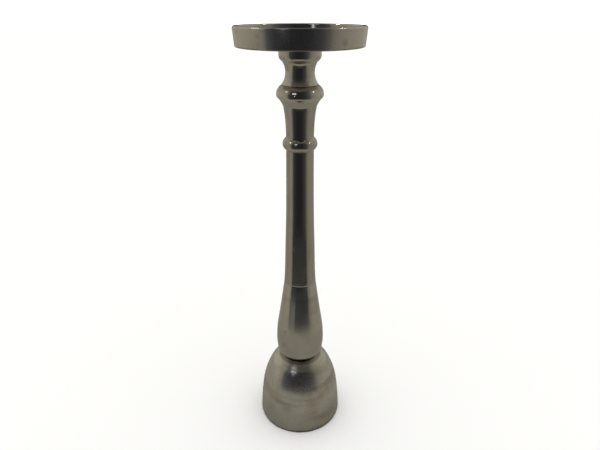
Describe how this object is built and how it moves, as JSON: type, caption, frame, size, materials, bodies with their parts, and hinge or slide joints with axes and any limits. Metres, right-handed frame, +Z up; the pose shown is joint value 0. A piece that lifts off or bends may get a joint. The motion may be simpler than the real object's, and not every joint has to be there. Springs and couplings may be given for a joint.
{
  "type": "candlestick",
  "caption": "Tall turned metal candlestick with a wide shallow candle dish, a knob and bead on a slim column, a pear-shaped bulb and a domed foot on a felt ring.",
  "frame": {"origin": "on the axis, at the level of the table that the felt ring stands on", "axes": "+Z up along the axis of revolution; X and Y are interchangeable"},
  "size_m": [0.109, 0.109, 0.4],
  "materials": {
    "satin_silver": "satin, brushed and slightly tarnished",
    "polished_silver": "polished, fine scratches and slight tarnish",
    "steel": "zinc plated",
    "felt": "pressed felt"
  },
  "bodies": {
    "root": {"candle_dish": "satin_silver", "dish_screw": "steel", "neck": "polished_silver", "column": "polished_silver", "bulb": "polished_silver", "foot": "satin_silver", "tie_rod": "steel", "base_washer": "steel", "lock_washer": "steel", "base_nut": "steel", "felt_ring": "felt"}
  },
  "joints": []
}
